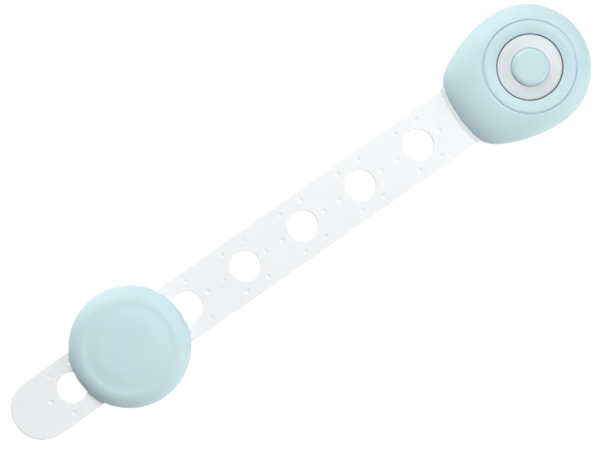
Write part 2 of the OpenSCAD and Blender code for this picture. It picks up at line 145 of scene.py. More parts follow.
def joinInto(piece, others):
    pick(piece, *others)
    bpy.ops.object.join()
    return piece


def smooth(piece, kind, weighted=True):
    pick(piece)
    bpy.ops.object.shade_smooth_by_angle(angle=math.radians(crease[kind]))
    if weighted:
        applyModifier(piece, "WEIGHTED_NORMAL", keep_sharp=True, weight=faceWeight)
    return piece


# drawing a profile
def arc(centreR, centreZ, radiusR, radiusZ, fromDeg, toDeg, steps):
    return [
        (
            centreR + radiusR * math.cos(math.radians(fromDeg + (toDeg - fromDeg) * i / steps)),
            centreZ + radiusZ * math.sin(math.radians(fromDeg + (toDeg - fromDeg) * i / steps)),
        )
        for i in range(steps + 1)
    ]


def soften(corners):
    # each corner is (r, z) or (r, z, radius), and a radius rounds it, except at the two ends
    line, last, most = [], len(corners) - 1, 0.49  # a rounding takes less than half of a side
    for i, corner in enumerate(corners):
        here = Vector(corner[:2])
        if len(corner) < 3 or i in (0, last):
            line.append(tuple(here))
            continue
        back = Vector(corners[i - 1][:2]) - here
        ahead = Vector(corners[i + 1][:2]) - here
        half = back.angle(ahead) / 2
        reach = min(corner[2] / math.tan(half), most * back.length, most * ahead.length)
        start, end = here + back.normalized() * reach, here + ahead.normalized() * reach
        for k in range(cornerSteps + 1):
            t = k / cornerSteps
            line.append(tuple((1 - t) ** 2 * start + 2 * t * (1 - t) * here + t * t * end))
    return line


def turnProfile(name, line, steps, angle=fullTurn):
    # a line drawn point by point in the XZ plane, then spun round Z
    clearSelection()
    bpy.ops.mesh.primitive_plane_add(size=mm)
    piece = nameNew(name)
    editAll(piece)
    bpy.ops.mesh.merge(type="CENTER")
    here = Vector((line[0][0] * mm, 0, line[0][1] * mm))
    bpy.ops.transform.translate(value=here)
    for r, z in line[1:]:
        there = Vector((r * mm, 0, z * mm))
        bpy.ops.mesh.extrude_vertices_move(TRANSFORM_OT_translate={"value": there - here})
        here = there
    bpy.ops.mesh.select_all(action="SELECT")
    bpy.ops.mesh.remove_doubles(threshold=weldGap)
    bpy.ops.mesh.select_all(action="SELECT")
    bpy.ops.mesh.spin(steps=steps, angle=angle, center=(0, 0, 0), axis=(0, 0, 1))
    doneEditing()
    return weld(piece)


def block(name, low, high, edge=0.0):
    # a box between two corners, with its edges rounded where an edge is given
    clearSelection()
    middle = [(a + b) / 2 * mm for a, b in zip(low, high)]
    bpy.ops.mesh.primitive_cube_add(size=1, location=middle)
    piece = nameNew(name)
    piece.scale = [(b - a) * mm for a, b in zip(low, high)]
    bpy.ops.object.transform_apply(location=True, rotation=True, scale=True)
    if edge:
        editAll(piece)
        roundSelected(edge, edgeSegments["broken"])
    return piece


copyShape = {"flat": 0.5, "corner": 40}  # degrees within which faces are one, and that break an edge


def softCopy(nodeName, name, edge, change):
    # a CAD solid's own shape with its edges broken, after any change of its own
    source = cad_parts[nodeName]
    piece = bpy.data.objects.new(name, source.data.copy())
    bpy.context.scene.collection.objects.link(piece)
    piece.data.materials.clear()
    editAll(piece)
    bpy.ops.mesh.remove_doubles(threshold=weldGap)
    bpy.ops.mesh.dissolve_limited(angle_limit=math.radians(copyShape["flat"]))
    doneEditing()
    if change:
        change(piece)
    applyModifier(piece, "BEVEL", width=edge * mm, segments=edgeSegments["broken"], limit_method="ANGLE",
                  angle_limit=math.radians(copyShape["corner"]), use_clamp_overlap=True)
    return smooth(piece, "copied")


# sizes that several pieces share, lengths in millimetres and the crown's turn in radians
head = {
    "radius": 18.0, "bulge": 0.25, "front": 24.1, "flankRadius": 38.0, "frontRadius": 39.0,
    "cornerBlend": 3.2, "wall": 1.8, "skirt": 1.0, "foot": 0.45, "shoulder": 4.5,
    "crownTurn": math.radians(80), "crownRadius": 13.7, "crownTop": 12.0, "roofRadius": 13.1, "roof": 10.5,
}
# corner radii
edges = {"hair": 0.1, "fine": 0.12, "small": 0.15, "soft": 0.2, "mild": 0.25, "round": 0.3, "full": 0.4}
strapLevel = {"low": 3.6, "high": 5.2}
anchorX = -138.0


def edgeOf(angle, centre, radius):
    # how far a circle's edge lies from the button's axis in one direction
    along = centre[0] * math.cos(angle) + centre[1] * math.sin(angle)
    return along + math.sqrt(along ** 2 + radius ** 2 - centre[0] ** 2 - centre[1] ** 2)


def headEdge(angle):
    # distance of the head's outline from the button's axis
    widest = head["radius"] + head["bulge"]
    if math.cos(angle) >= 0:
        return head["radius"] + head["bulge"] * math.sin(angle) ** 2
    side = math.copysign(1, math.sin(angle))
    flank = edgeOf(angle, (0, -side * (head["flankRadius"] - widest)), head["flankRadius"])
    front = edgeOf(angle, (head["frontRadius"] - head["front"], 0), head["frontRadius"])
    # flank and front run into each other in a soft corner
    h = max(head["cornerBlend"] - abs(flank - front), 0) / head["cornerBlend"]
    return min(flank, front) - h * h * head["cornerBlend"] / 4


# material building blocks
noiseSpan = (0.3, 0.7)  # where most of a noise's values lie


def newGroup(name, inputs, outputs):
    group = bpy.data.node_groups.new(name, "ShaderNodeTree")
    for label, kind, default in inputs:
        socket = group.interface.new_socket(name=label, in_out="INPUT", socket_type=kind)
        socket.default_value = default
    for label, kind in outputs:
        group.interface.new_socket(name=label, in_out="OUTPUT", socket_type=kind)
    return group, group.nodes.new("NodeGroupInput"), group.nodes.new("NodeGroupOutput")


def feed(tree, node, links):
    # links gives each input its source socket or its plain value
    for label, source in links.items():
        if isinstance(source, bpy.types.NodeSocket):
            tree.links.new(source, node.inputs[label])
        else:
            node.inputs[label].default_value = source


def addNode(tree, kind, links=None, **values):
    node = tree.nodes.new(kind)
    for key, value in values.items():
        setattr(node, key, value)
    feed(tree, node, links or {})
    return node


def mapRange(tree, value, low, high):
    node = addNode(tree, "ShaderNodeMapRange", {
        "Value": value, "From Min": noiseSpan[0], "From Max": noiseSpan[1], "To Min": low, "To Max": high})
    return node.outputs["Result"]


def mixColours(tree, share, first, second):
    # a Mix node keeps its two colours at inputs 6 and 7 and their mixture at output 2
    node = addNode(tree, "ShaderNodeMix", {"Factor": share, 6: first, 7: second}, data_type="RGBA")
    return node.outputs[2]


def bumped(tree, height, strength, distance):
    node = addNode(tree, "ShaderNodeBump", {"Height": height, "Strength": strength, "Distance": distance})
    return node.outputs["Normal"]


def mouldSkinGroup():
    # satin moulded plastic: slow colour drift, fine spark-eroded grain, uneven gloss
    group, given, out = newGroup(
        "mouldSkin",
        [("Colour", "NodeSocketColor", (0.8, 0.8, 0.8, 1)),
         ("Deep colour", "NodeSocketColor", (0.7, 0.7, 0.7, 1)),
         ("Drift size", "NodeSocketFloat", 60.0),
         ("Grain size", "NodeSocketFloat", 5200.0),
         ("Least gloss", "NodeSocketFloat", 0.4),
         ("Most gloss", "NodeSocketFloat", 0.5)],
        [("Colour", "NodeSocketColor"), ("Roughness", "NodeSocketFloat"),
         ("Grain", "NodeSocketFloat")],
    )
    place = addNode(group, "ShaderNodeTexCoord").outputs["Object"]
    drift = addNode(group, "ShaderNodeTexNoise", {
        "Vector": place, "Scale": given.outputs["Drift size"], "Detail": 3.0, "Roughness": 0.55})
    grain = addNode(group, "ShaderNodeTexNoise", {
        "Vector": place, "Scale": given.outputs["Grain size"], "Detail": 2.0, "Roughness": 0.6})
    share = mapRange(group, drift.outputs["Fac"], 0.0, 1.0)
    tint = mixColours(group, share, given.outputs["Colour"], given.outputs["Deep colour"])
    gloss = mapRange(group, grain.outputs["Fac"], given.outputs["Least gloss"], given.outputs["Most gloss"])
    feed(group, out, {"Colour": tint, "Roughness": gloss, "Grain": grain.outputs["Fac"]})
    return group


def flowMarksGroup():
    # soft strap plastic: cloudy patches and long flow lines drawn along X
    group, given, out = newGroup(
        "flowMarks",
        [("Cloud size", "NodeSocketFloat", 90.0), ("Line size", "NodeSocketFloat", 700.0)],
        [("Cloud", "NodeSocketFloat"), ("Lines", "NodeSocketFloat")],
    )
    place = addNode(group, "ShaderNodeTexCoord").outputs["Object"]
    cloud = addNode(group, "ShaderNodeTexNoise", {
        "Vector": place, "Scale": given.outputs["Cloud size"], "Detail": 4.0, "Roughness": 0.6})
    drawn = addNode(group, "ShaderNodeMapping", {"Vector": place, "Scale": (0.05, 1.0, 1.0)})
    lines = addNode(group, "ShaderNodeTexNoise", {
        "Vector": drawn.outputs["Vector"], "Scale": given.outputs["Line size"], "Detail": 3.0})
    feed(group, out, {"Cloud": cloud.outputs["Fac"], "Lines": lines.outputs["Fac"]})
    return group


def foamCellsGroup():
    group, given, out = newGroup(
        "foamCells", [("Cell size", "NodeSocketFloat", 3600.0)],
        [("Cells", "NodeSocketFloat"), ("Patches", "NodeSocketFloat")],
    )
    place = addNode(group, "ShaderNodeTexCoord").outputs["Object"]
    cells = addNode(group, "ShaderNodeTexVoronoi", {
        "Vector": place, "Scale": given.outputs["Cell size"]})
    patches = addNode(group, "ShaderNodeTexNoise", {"Vector": place, "Scale": 240.0, "Detail": 4.0})
    feed(group, out, {"Cells": cells.outputs["Distance"], "Patches": patches.outputs["Fac"]})
    return group


groups = {"skin": mouldSkinGroup(), "flow": flowMarksGroup(), "foam": foamCellsGroup()}


def newMaterial(name):
    material = bpy.data.materials.new(name)
    material.use_nodes = True
    tree = material.node_tree
    return material, tree, tree.nodes["Principled BSDF"]


plasticLook = {"grain": 0.12, "grainDepth": 0.00002, "sheen": 0.3, "bleed": (0.0009, 0.0011, 0.0012)}
strapLook = {
    "colour": (0.825, 0.845, 0.855, 1), "deep": (0.795, 0.818, 0.830, 1),
    "leastGloss": 0.36, "mostGloss": 0.48, "lines": 0.05, "lineDepth": 0.00003,
    "haze": 0.2, "bleed": (0.0012, 0.0013, 0.0014),
}
foamLook = {
    "colour": (0.66, 0.69, 0.71, 1), "deep": (0.58, 0.61, 0.63, 1), "roughness": 0.9,
    "cells": 0.5, "cellDepth": 0.00008,
}
steelLook = {
    "marks": 2600.0, "leastGloss": 0.28, "mostGloss": 0.46, "shade": 0.86,
    "scratch": 0.08, "scratchDepth": 0.00001,
}


def mouldedPlastic(name, colour, deep, leastGloss, mostGloss, haze):
    look = plasticLook
    material, tree, shader = newMaterial(name)
    skin = addNode(tree, "ShaderNodeGroup", {
        "Colour": (*colour, 1), "Deep colour": (*deep, 1),
        "Least gloss": leastGloss, "Most gloss": mostGloss}, node_tree=groups["skin"])
    feed(tree, shader, {
        "Base Color": skin.outputs["Colour"], "Roughness": skin.outputs["Roughness"],
        "Normal": bumped(tree, skin.outputs["Grain"], look["grain"], look["grainDepth"]),
        "Specular IOR Level": look["sheen"], "Subsurface Weight": haze,
        "Subsurface Radius": look["bleed"], "Subsurface Scale": 1.0})
    return material


def strapPlastic(look):
    material, tree, shader = newMaterial("softStrapPlastic")
    flow = addNode(tree, "ShaderNodeGroup", node_tree=groups["flow"])
    skin = addNode(tree, "ShaderNodeGroup", {
        "Least gloss": look["leastGloss"], "Most gloss": look["mostGloss"]}, node_tree=groups["skin"])
    tone = mapRange(tree, flow.outputs["Cloud"], 0.0, 1.0)
    feed(tree, shader, {
        "Base Color": mixColours(tree, tone, look["colour"], look["deep"]),
        "Roughness": skin.outputs["Roughness"],
        "Normal": bumped(tree, flow.outputs["Lines"], look["lines"], look["lineDepth"]),
        "Subsurface Weight": look["haze"], "Subsurface Radius": look["bleed"], "Subsurface Scale": 1.0})
    return material


def foamTape(look):
    material, tree, shader = newMaterial("foamTape")
    foam = addNode(tree, "ShaderNodeGroup", node_tree=groups["foam"])
    tone = mapRange(tree, foam.outputs["Patches"], 0.0, 1.0)
    feed(tree, shader, {
        "Base Color": mixColours(tree, tone, look["colour"], look["deep"]), "Roughness": look["roughness"],
        "Normal": bumped(tree, foam.outputs["Cells"], look["cells"], look["cellDepth"])})
    return material


def drawnSteel(name, colour, along):
    # wire or plated steel with fine draw marks
    look = steelLook
    material, tree, shader = newMaterial(name)
    place = addNode(tree, "ShaderNodeTexCoord").outputs["Object"]
    drawn = addNode(tree, "ShaderNodeMapping", {"Vector": place, "Scale": along})
    marks = addNode(tree, "ShaderNodeTexNoise", {
        "Vector": drawn.outputs["Vector"], "Scale": look["marks"], "Detail": 3.0}).outputs["Fac"]
    tone = mapRange(tree, marks, 0.0, 1.0)
    feed(tree, shader, {
        "Base Color": mixColours(tree, tone, (*colour, 1), (*[c * look["shade"] for c in colour], 1)),
        "Roughness": mapRange(tree, marks, look["leastGloss"], look["mostGloss"]), "Metallic": 1.0,
        "Normal": bumped(tree, marks, look["scratch"], look["scratchDepth"])})
    return material


finish = {
    "teal": mouldedPlastic("paleTealPlastic", (0.553, 0.715, 0.752), (0.534, 0.700, 0.740),
                           0.40, 0.52, haze=0.08),
    "button": mouldedPlastic("buttonTealPlastic", (0.525, 0.693, 0.722), (0.510, 0.681, 0.712),
                             0.38, 0.48, haze=0.08),
    "white": mouldedPlastic("whitePlastic", (0.695, 0.730, 0.752), (0.678, 0.712, 0.736),
                            0.34, 0.46, haze=0.08),
    # the lip is the head base's white plastic painted paler: painted light that lifts the shade it sits in
    # below the cover's front
    "lip": mouldedPlastic("lipPlasticPaintedLight", (0.785, 0.805, 0.818), (0.770, 0.791, 0.806),
                          0.34, 0.46, haze=0.08),
    "natural": mouldedPlastic("naturalPlastic", (0.780, 0.790, 0.760), (0.735, 0.748, 0.715),
                              0.32, 0.46, haze=0.12),
    "strap": strapPlastic(strapLook),
    "foam": foamTape(foamLook),
    "wire": drawnSteel("springWire", (0.60, 0.61, 0.63), (1.0, 1.0, 6.0)),
    "plated": drawnSteel("platedSteel", (0.63, 0.64, 0.65), (1.0, 1.0, 0.2)),
}


def dress(piece, look, body, *nodes):
    piece.data.materials.clear()
    piece.data.materials.append(finish[look])
    if nodes:
        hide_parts(*nodes)
    if body:
        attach(piece, body)
    return piece


print("materials ready")


# head cover
coverShape = {
    "turnSteps": 192, "crownSteps": 26, "roofSteps": 12, "grooveSteps": 14, "crestSteps": 5, "dishSteps": 14,
    "footSteps": 4, "flareSteps": 5, "mouthSteps": 20, "bossSteps": 32,
    "grooveRadius": 13.2, "grooveHalf": 0.5, "grooveDepth": 0.5,
    "crestRadius": 11.9, "crest": 12.3, "dishRoll": 4.0, "dishTilt": 14.0, "hole": 9.5, "holeLip": 0.15,
    "collar": 11.3, "collarLow": 9.0,
    "mouthHalf": 9.3, "mouthLow": 3.3, "mouthHigh": 5.65, "mouthRound": 0.15, "mouthDepth": 5.4,
    "bossRadius": 2.2, "bossCircle": 13.05, "bossAngles": (45, 112, -112, -45),
    "pilot": 0.85, "pilotDepth": 5.5, "bossLow": 2.4,
}


def crownHeight(turned, top):
    rise = math.sin(turned) / math.sin(head["crownTurn"])
    return head["shoulder"] + (top - head["shoulder"]) * rise


def crownCurve(side, end, top, steps):
    # the crown's curve from a shell's side in to the circle at its top
    line, whole = [], 1 - math.cos(head["crownTurn"])
    for i in range(steps + 1):
        turned = head["crownTurn"] * i / steps
        run = (1 - math.cos(turned)) / whole
        line.append((side + (end - side) * run, crownHeight(turned, top)))
    return line


def crownAbove(angle, r):
    # height of the cover's outside over a place on the head's plan
    edge = headEdge(angle)
    run = min((edge - r) / (edge - head["crownRadius"]), 1)
    return crownHeight(math.acos(1 - run * (1 - math.cos(head["crownTurn"]))), head["crownTop"])


def coverProfile(s):
    foot, skirt = head["foot"], head["skirt"]
    inner = head["radius"] - head["wall"]
    fall = s["crest"] - head["crownTop"]

    def crestAt(r):
        return s["crest"] - fall * ((r - s["crestRadius"]) / (head["crownRadius"] - s["crestRadius"])) ** 2

    line = arc(head["radius"] - foot, skirt + foot, foot, foot, -90, 0, s["footSteps"])
    line += crownCurve(head["radius"], head["crownRadius"], head["crownTop"], s["crownSteps"])
    # the fine groove, a soft valley in the crest
    for i in range(s["grooveSteps"] + 1):
        across = 1 - 2 * i / s["grooveSteps"]
        r = s["grooveRadius"] + s["grooveHalf"] * across
        line.append((r, crestAt(r) - s["grooveDepth"] * (1 + math.cos(math.pi * across)) / 2))
    # the crest rises a little further, then the dish rolls over into a cone down to the hole
    start = line[-1][0]
    for i in range(1, s["crestSteps"]):
        r = start + (s["crestRadius"] - start) * i / s["crestSteps"]
        line.append((r, crestAt(r)))
    roll = s["dishRoll"]
    line += arc(s["crestRadius"], s["crest"] - roll, roll, roll, 90, 90 + s["dishTilt"], s["dishSteps"])
    low = line[-1][1] - (line[-1][0] - s["hole"]) * math.tan(math.radians(s["dishTilt"]))
    line += soften([line[-1], (s["hole"], low, s["holeLip"]), (s["hole"], s["collarLow"])])[1:]
    line += [(s["collar"], s["collarLow"]), (s["collar"], head["roof"])]
    line += reversed(crownCurve(inner, head["roofRadius"], head["roof"], s["roofSteps"]))
    line += [(inner, skirt), line[0]]
    return line


def pullToOutline(piece):
    # the round shell's two skins are drawn out to the head's own outline,
    # and an oval halfway through the wall tells one skin from the other
    halfRun = head["radius"] - head["wall"] / 2 - head["crownRadius"]
    halfRise = (head["crownTop"] + head["roof"]) / 2 - head["shoulder"]
    for vertex in piece.data.vertices:
        x, y, z = vertex.co / mm
        r, angle = math.hypot(x, y), math.atan2(y, x)
        across, up = (r - head["crownRadius"]) / halfRun, max(z - head["shoulder"], 0) / halfRise
        outer = across ** 2 + up ** 2 > 1
        start, inset = (head["crownRadius"], 0) if outer else (head["roofRadius"], head["wall"])
        if r <= start:
            continue
        end, reach = head["radius"] - inset, headEdge(angle) - inset
        drawn = start + (r - start) * (reach - start) / (end - start)
        vertex.co.x, vertex.co.y = drawn * math.cos(angle) * mm, drawn * math.sin(angle) * mm


def mouthCutter(s):
    # a slot bent to the front's radius, flared where it meets the outside
    front, r, steps = head["frontRadius"], s["mouthRound"], s["flareSteps"]
    flare = arc(front - r, s["mouthHigh"] + r, r, r, -90, 0, steps)
    upper = [(front - s["mouthDepth"], s["mouthHigh"])] + flare + [(front + over, s["mouthHigh"] + r)]
    flare = arc(front - r, s["mouthLow"] - r, r, r, 0, 90, steps)
    lower = [(front + over, s["mouthLow"] - r)] + flare + [(front - s["mouthDepth"], s["mouthLow"])]
    line = upper + lower
    half = math.asin(s["mouthHalf"] / front)
    cutter = turnProfile("mouthCutter", line + [line[0]], s["mouthSteps"], 2 * half)
    editAll(cutter)
    selectOpenEdges()
    bpy.ops.mesh.edge_face_add()
    doneEditing()
    # turned so that its middle faces the strap, then set at the front's own centre
    spread = [math.atan2(v.co.y, v.co.x) for v in cutter.data.vertices]
    turn = math.pi - (min(spread) + max(spread)) / 2
    for v in cutter.data.vertices:
        angle = math.atan2(v.co.y, v.co.x) + turn
        far = math.hypot(v.co.x, v.co.y)
        v.co.x = far * math.cos(angle) + (front - head["front"]) * mm
        v.co.y = far * math.sin(angle)
    return weld(cutter)


def makeHeadCover(s):
    cover = turnProfile("headCover", coverProfile(s), s["turnSteps"])
    pullToOutline(cover)
    cutWith(cover, mouthCutter(s))
    bosses, low = [], s["bossLow"]
    for degrees in s["bossAngles"]:
        angle = math.radians(degrees)
        roof = crownAbove(angle, s["bossCircle"] + s["bossRadius"]) - head["wall"] / 2
        line = [(s["pilot"], low + s["pilotDepth"]), (s["pilot"], low, edges["hair"]),
                (s["bossRadius"], low, edges["small"]), (s["bossRadius"], roof)]
        line = [(0, low + s["pilotDepth"])] + soften(line) + [(0, roof)]
        boss = turnProfile("boss", line, s["bossSteps"])
        bosses.append(shift(boss, s["bossCircle"] * math.cos(angle), s["bossCircle"] * math.sin(angle)))
    cutWith(cover, joinInto(bosses[0], bosses[1:]), "UNION")
    dress(smooth(cover, "moulded"), "teal", "head", "head_cover")


makeHeadCover(coverShape)
print("head cover ready")


# press ring and centre button
ringShape = {
    "bore": 5.42, "outer": 9.25, "skirt": 1.1, "flange": 10.3, "flangeThick": 0.7,
    "low": 8.15, "plate": 10.5, "top": 12.3, "tilt": 12, "edge": 0.5, "innerEdge": 0.15,
    "turnSteps": 160, "edgeSteps": 9,
}
buttonShape = {
    "radius": 5.35, "edge": 1.4, "flange": 6.3, "flangeThick": 0.7, "low": 9.65, "top": 13.9,
    "well": 3.35, "roof": 1.2, "turnSteps": 128, "edgeSteps": 9,
    "footX": 3.5, "footThick": 1.7, "footWide": 4.0, "footLow": 5.8,
}


def makePressRing(s):
    # the top falls away from the button in a cone and ends in a round edge
    tilt, inner = math.radians(s["tilt"]), s["outer"] - s["skirt"]
    turnR = s["outer"] - s["edge"] * (1 - math.sin(tilt))
    turnZ = s["top"] - (turnR - s["bore"]) * math.tan(tilt)
    edgeZ = turnZ - s["edge"] * math.cos(tilt)
    flangeTop, fine = s["low"] + s["flangeThick"], edges["fine"]
    line = soften([(s["bore"], s["plate"]), (s["bore"], s["top"], s["innerEdge"]), (turnR, turnZ)])
    line += arc(s["outer"] - s["edge"], edgeZ, s["edge"], s["edge"], 90 - s["tilt"], 0, s["edgeSteps"])[1:]
    line += soften([(s["outer"], edgeZ), (s["outer"], flangeTop, edges["small"]),
                    (s["flange"], flangeTop, fine), (s["flange"], s["low"], fine), (inner, s["low"], fine),
                    (inner, s["plate"], edges["soft"]), (s["bore"], s["plate"])])[1:]
    ring = turnProfile("pressRing", line, s["turnSteps"])
    dress(smooth(ring, "moulded"), "white", "ring", "press_ring")


def makeCentreButton(s):
    rim, ceiling = s["top"] - s["edge"], s["top"] - s["roof"]
    flangeTop, fine = s["low"] + s["flangeThick"], edges["fine"]
    line = [(0, s["top"])] + arc(s["radius"] - s["edge"], rim, s["edge"], s["edge"], 90, 0, s["edgeSteps"])
    line += soften([(s["radius"], rim), (s["radius"], flangeTop, edges["hair"]),
                    (s["flange"], flangeTop, fine), (s["flange"], s["low"], fine),
                    (s["well"], s["low"], fine), (s["well"], ceiling, edges["soft"]), (0, ceiling)])[1:]
    button = turnProfile("centreButton", line, s["turnSteps"])
    # the foot goes down through the deck and presses the latch
    foot = block("foot", (s["footX"], -s["footWide"] / 2, s["footLow"]),
                 (s["footX"] + s["footThick"], s["footWide"] / 2, s["low"] + s["flangeThick"] / 2),
                 edges["small"])
    cutWith(button, foot, "UNION")
    dress(smooth(button, "moulded"), "button", "button", "centre_button")


makePressRing(ringShape)
makeCentreButton(buttonShape)
print("buttons ready")


# strap, one band from the lap to the round tail
strapShape = {
    "tip": -177.2, "end": -11.0, "half": 9.0, "edge": 0.28, "tailSteps": 28, "tailFlat": 0.002,
    "firstHole": -38.0, "pitch": 20.0, "holes": 7, "holeRadius": 4.4, "holeLip": 0.22,
    "holeSteps": 72, "lipSteps": 4,
    "dimples": 6, "dimpleCircle": 7.25, "dimpleRadius": 0.75, "dimpleDepth": 0.15,
    "dimpleSink": 0.03, "dimpleRoll": 0.12, "dimpleLift": 0.001, "dimpleSteps": 24, "bowlSteps": 6,
    "flexStart": -63.0, "flexEnd": -73.0, "flexCut": 0.5,
    "lapLength": 8.05, "lapHalf": 6.95, "lapFloor": 4.4,
    "rivetX": -15.0, "rivetY": 4.8, "rivetHole": 0.95, "rivetSink": 1.75, "sinkDepth": 0.4, "sinkSteps": 28,
}


def holeCutter(s):
    low, high, r, lip = strapLevel["low"], strapLevel["high"], s["holeRadius"], s["holeLip"]
    line = [(0, low - over), (r + lip, low - over)]
    line += arc(r + lip, low + lip, lip, lip, -90, -180, s["lipSteps"])
    line += arc(r + lip, high - lip, lip, lip, 180, 90, s["lipSteps"])
    line += [(r + lip, high + over), (0, high + over)]
    return turnProfile("holeCutter", line, s["holeSteps"])


def dimpleCutter(s):
    # a shallow bowl with a rolled lip
    high, rim = strapLevel["high"], s["dimpleRadius"] + s["dimpleRoll"]
    ball = (s["dimpleRadius"] ** 2 + s["dimpleDepth"] ** 2) / (2 * s["dimpleDepth"])
    half = math.degrees(math.asin(s["dimpleRadius"] / ball))
    bowl = arc(0, high - s["dimpleDepth"] + ball, ball, ball, -90, -90 + half, s["bowlSteps"])
    line = bowl[:-1] + [(s["dimpleRadius"], high - s["dimpleSink"]), (rim, high + s["dimpleLift"])]
    line += [(rim, high + over), (0, high + over)]
    return turnProfile("dimpleCutter", line, s["dimpleSteps"])


def aroundHole(s):
    # where the dimples lie round a hole
    turns = [fullTurn * k / s["dimples"] for k in range(s["dimples"])]
    return [(s["dimpleCircle"] * math.cos(a), s["dimpleCircle"] * math.sin(a)) for a in turns]


def copiesAt(piece, places):
    copies = []
    for x, y in places:
        pick(piece)
        bpy.ops.object.duplicate()
        copies.append(shift(bpy.context.object, x, y))
    bpy.data.objects.remove(piece)
    return copies


def makeStrap(s):
    low, high = strapLevel["low"], strapLevel["high"]
    strap = block("strapBand", (s["tip"], -s["half"], low), (s["end"], s["half"], high))
    selectEdges(strap, lambda a, b: max(a.x, b.x) < s["tip"] + near and abs(a.y - b.y) < near)
    roundSelected(s["half"] - s["tailFlat"], s["tailSteps"])
    weld(strap)
    selectEdges(strap, lambda a, b: abs(a.z - b.z) < near and min(a.x, b.x) < s["end"] - near)
    roundSelected(s["edge"], edgeSegments["rolled"])
    centres = [s["firstHole"] - s["pitch"] * i for i in range(s["holes"])]
    cutters = copiesAt(holeCutter(s), [(x, 0) for x in centres])
    cutters += copiesAt(dimpleCutter(s), [(x + dx, dy) for x in centres for dx, dy in aroundHole(s)])
    cutters.append(block("lapCutter", (s["end"] - s["lapLength"], -s["lapHalf"], s["lapFloor"]),
                         (s["end"] + over, s["lapHalf"], high + over)))
    cutWith(strap, joinInto(cutters[0], cutters[1:]))
    sinkFloor = low + s["sinkDepth"]
    sink = turnProfile("rivetCutter", [
        (0, low - over), (s["rivetSink"], low - over), (s["rivetSink"], sinkFloor),
        (s["rivetHole"], sinkFloor), (s["rivetHole"], high), (0, high)], s["sinkSteps"])
    sinks = copiesAt(sink, [(s["rivetX"], s["rivetY"]), (s["rivetX"], -s["rivetY"])])
    cutWith(strap, joinInto(sinks[0], sinks[1:]))
    # cross cuts divide the flexible stretch into narrow bands
    editAll(strap)
    x = s["flexEnd"]
    while x <= s["flexStart"] + near:
        bpy.ops.mesh.select_all(action="SELECT")
        bpy.ops.mesh.bisect(plane_co=(x * mm, 0, 0), plane_no=(1, 0, 0))
        x += s["flexCut"]
    doneEditing()
    weld(strap)
    smooth(strap, "moulded")
    dress(strap, "strap", None, "strap_head_end", "strap_flex", "strap_tail")
    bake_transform(strap)


makeStrap(strapShape)
print("strap ready")


# anchor pad
capShape = {
    "radius": 17.4, "high": 10.2, "rim": 4.6, "dome": 0.55, "land": 0.2, "domeFlat": 3, "domeSteps": 30,
    "wall": 1.6, "low": 1.0, "roof": 8.05, "pin": 2.5, "pinLow": 2.4,
    "clampIn": 5.0, "clampOut": 8.4, "clampLow": 5.35, "turnSteps": 192, "rimSteps": 20,
    "notchHalf": 9.3, "notchHigh": 5.35, "notchIn": 9.4, "notchBand": 0.4, "notchEdge": 0.3,
    "pip": 0.45, "pipLow": 5.15, "pipRoot": 0.2, "pipSteps": 16,
}
baseShape = {
    "disc": 15.65, "low": 0.8, "high": 3.55, "post": 4.16, "postHigh": 7.75, "socket": 2.56,
    "socketLow": 2.1, "ribHalf": 6.0, "ribIn": 9.3, "ribThick": 1.0, "ribLow": 1.3, "ribHigh": 5.05,
    "turnSteps": 128,
}


def makeAnchorCap(s):
    # a low dome in the middle, then the rolled rim
    inner, crest = s["radius"] - s["wall"], s["high"] - s["dome"]
    domeR, steps = s["radius"] - s["rim"] - s["land"], s["domeSteps"]
    stepR, shelf = inner - s["rim"] / 2, s["roof"] - s["wall"]
    fine, soft, rounded = edges["fine"], edges["soft"], edges["round"]
    line = []
    for k in range(steps + 1):
        fall = (1 - math.cos(math.pi * (k / steps) ** s["domeFlat"])) / 2
        line.append((domeR * k / steps, s["high"] - s["dome"] * fall))
    line += arc(s["radius"] - s["rim"], crest - s["rim"], s["rim"], s["rim"], 90, 0, s["rimSteps"])
    line += soften([(s["radius"], crest - s["rim"]), (s["radius"], s["low"], edges["full"]),
                    (inner, s["low"], edges["mild"]), (inner, shelf, rounded), (stepR, shelf, soft),
                    (stepR, s["roof"], rounded), (s["clampOut"], s["roof"], soft),
                    (s["clampOut"], s["clampLow"], fine), (s["clampIn"], s["clampLow"], fine),
                    (s["clampIn"], s["roof"], soft), (s["pin"], s["roof"], rounded),
                    (s["pin"], s["pinLow"], edges["full"]), (0, s["pinLow"])])[1:]
    cap = turnProfile("anchorCap", line, s["turnSteps"])
    outside = s["radius"] + over
    notches = [block("notch", (low, -s["notchHalf"], 0), (high, s["notchHalf"], s["notchHigh"]))
               for low, high in ((-outside, -s["notchIn"]), (s["notchIn"], outside))]
    cutWith(cap, joinInto(notches[0], notches[1:]))
    selectEdges(cap, lambda a, b: max(abs(a.z - s["notchHigh"]), abs(b.z - s["notchHigh"])) < near
                and min(math.hypot(a.x, a.y), math.hypot(b.x, b.y)) > s["radius"] - s["notchBand"])
    roundSelected(s["notchEdge"], edgeSegments["rolled"])
    # pips that go into the strap's dimples
    pipHigh = s["clampLow"] + s["pipRoot"]
    pip = turnProfile("pip", soften([(0, s["pipLow"]), (s["pip"], s["pipLow"], soft),
                                     (s["pip"], pipHigh), (0, pipHigh)]), s["pipSteps"])
    pips = copiesAt(pip, aroundHole(strapShape))
    cutWith(cap, joinInto(pips[0], pips[1:]), "UNION")
    shift(weld(cap), anchorX)
    dress(smooth(cap, "moulded"), "teal", "anchor_cap", "anchor_cap")


